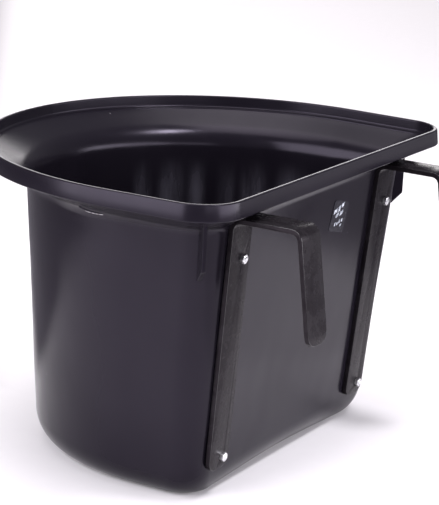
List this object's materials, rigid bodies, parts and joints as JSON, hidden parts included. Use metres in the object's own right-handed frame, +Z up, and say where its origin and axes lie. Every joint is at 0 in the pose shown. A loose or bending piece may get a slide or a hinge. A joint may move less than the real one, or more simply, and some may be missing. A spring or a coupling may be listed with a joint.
{
  "type": "over-door feed bucket",
  "caption": "D-shaped black plastic feed bucket with a flared rim, hung over a door or rail on bent flat-bar hooks bolted to its flat side.",
  "frame": {"origin": "on the upright axis of the round back, in the plane of the base's underside", "axes": "+Z up; the flat wall with the hooks faces -Y, the round back faces +Y; +X runs along the flat wall"},
  "size_m": [0.4242, 0.3718, 0.261],
  "materials": {
    "tub_plastic": "semi-gloss black moulded polyethylene",
    "hook_steel": "gloss black coated flat steel bar",
    "zinc_steel": "bright zinc plated",
    "label_film": "dark printed film with a pale neutral pattern"
  },
  "bodies": {
    "root": {"bucket": "tub_plastic", "hook_bracket_left": "hook_steel", "hook_bracket_right": "hook_steel", "product_label": "label_film", "bolt_left_top": "zinc_steel", "washer_left_top": "zinc_steel", "nut_left_top": "zinc_steel", "bolt_left_bottom": "zinc_steel", "washer_left_bottom": "zinc_steel", "nut_left_bottom": "zinc_steel", "bolt_right_top": "zinc_steel", "washer_right_top": "zinc_steel", "nut_right_top": "zinc_steel", "bolt_right_bottom": "zinc_steel", "washer_right_bottom": "zinc_steel", "nut_right_bottom": "zinc_steel"}
  },
  "joints": []
}
